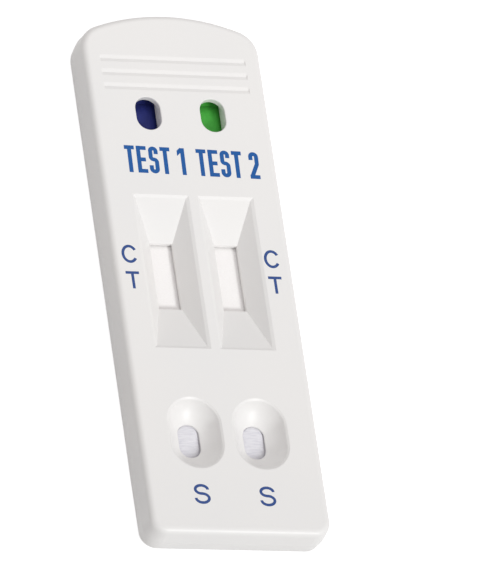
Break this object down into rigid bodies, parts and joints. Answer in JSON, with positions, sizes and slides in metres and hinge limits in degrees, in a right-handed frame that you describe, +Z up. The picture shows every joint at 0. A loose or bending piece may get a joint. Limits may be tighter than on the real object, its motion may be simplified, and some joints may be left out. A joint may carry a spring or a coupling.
{
  "type": "lateral flow cassette",
  "caption": "Flat white snap-together cassette that holds test strips side by side, with sample wells, sloped result slots, colour windows and a grooved grip end.",
  "frame": {"origin": "middle of the flat underside, where the cassette rests", "axes": "+Y along the cassette from the sample wells towards the grip end, +X across it to the right seen from above, +Z up through the face"},
  "size_m": [0.0252, 0.0762, 0.0052],
  "materials": {
    "upper_casing": "white moulded polystyrene, satin gloss",
    "lower_casing": "white moulded polystyrene, satin gloss",
    "backing_card": "white plastic card",
    "membrane": "matt white nitrocellulose",
    "conjugate_pad": "matt glass fibre",
    "sample_pad": "matt fibrous pad",
    "absorbent_pad": "matt cellulose felt",
    "blue_tape": "dark blue printed film",
    "green_tape": "green printed film"
  },
  "bodies": {
    "root": {"upper_shell": "upper_casing", "lower_shell": "lower_casing", "backing_card_left": "backing_card", "backing_card_right": "backing_card", "membrane_left": "membrane", "membrane_right": "membrane", "conjugate_pad_left": "conjugate_pad", "conjugate_pad_right": "conjugate_pad", "sample_pad_left": "sample_pad", "sample_pad_right": "sample_pad", "absorbent_pad_left": "absorbent_pad", "absorbent_pad_right": "absorbent_pad", "cover_tape_left": "blue_tape", "cover_tape_right": "green_tape"}
  },
  "joints": []
}
